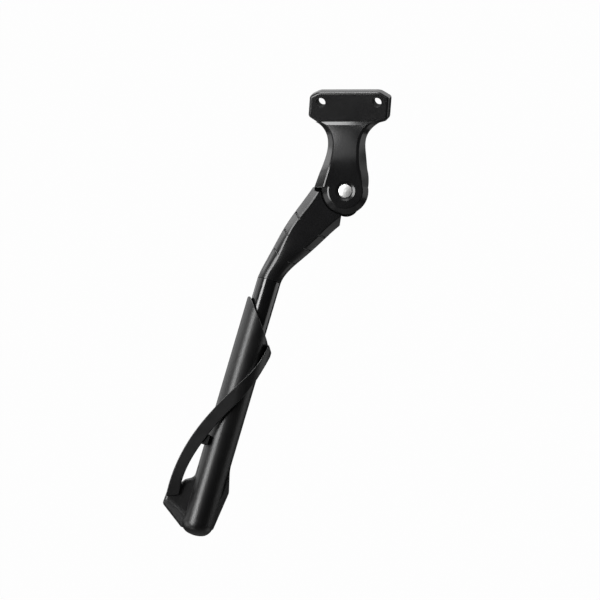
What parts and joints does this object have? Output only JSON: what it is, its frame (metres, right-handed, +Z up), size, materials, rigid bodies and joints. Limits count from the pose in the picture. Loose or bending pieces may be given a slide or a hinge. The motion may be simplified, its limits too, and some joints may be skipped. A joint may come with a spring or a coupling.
{
  "type": "bicycle kickstand",
  "caption": "Black side kickstand: a bolt-on plate and neck with a riveted pivot, a folding bevelled arm, a round leg tube and an adjustable moulded foot boot.",
  "frame": {"origin": "midway between the two bolt holes, on the plate's mounting face", "axes": "+X along the bolt line towards the rear of the bicycle, +Y inboard into the frame, +Z up"},
  "size_m": [0.1528, 0.1265, 0.2906],
  "materials": {
    "black_casting": "satin black powder coat on die-cast aluminium",
    "black_tube": "glossy black paint on drawn aluminium tube",
    "black_moulding": "fine-grained black moulded plastic",
    "bright_steel": "bright zinc-plated steel",
    "bush_brass": "plain turned brass",
    "dark_screw": "black oxide steel"
  },
  "bodies": {
    "bracket": {"mounting_bracket": "black_casting", "pivot_rivet": "bright_steel", "rivet_washer": "bright_steel", "front_thrust_washer": "bright_steel", "rear_thrust_washer": "bright_steel", "detent_spring": "bright_steel"},
    "leg": {"upper_arm": "black_casting", "leg_tube": "black_tube", "pivot_bush": "bush_brass"},
    "plunger": {"detent_plunger": "bright_steel"},
    "boot": {"foot_boot": "black_moulding", "clamp_insert": "bush_brass", "clamp_screw": "dark_screw"}
  },
  "joints": [
    {"name": "leg_pivot", "type": "hinge", "parent": "bracket", "child": "leg", "pos_m": [-0.00356, -0.02, -0.0604], "axis": [0.2347, -0.9415, 0.2419], "range_deg": [0, 105]},
    {"name": "detent_slide", "type": "slide", "parent": "bracket", "child": "plunger", "axis": [0, -0.2489, -0.9685], "range_m": [0, 0.0012], "stiffness_N_per_m": 1000, "springref_m": 0.005, "deforming": ["detent_spring"]},
    {"name": "foot_slide", "type": "slide", "parent": "leg", "child": "boot", "axis": [-0.2527, -0.3871, -0.8867], "range_m": [-0.01, 0.025]}
  ]
}
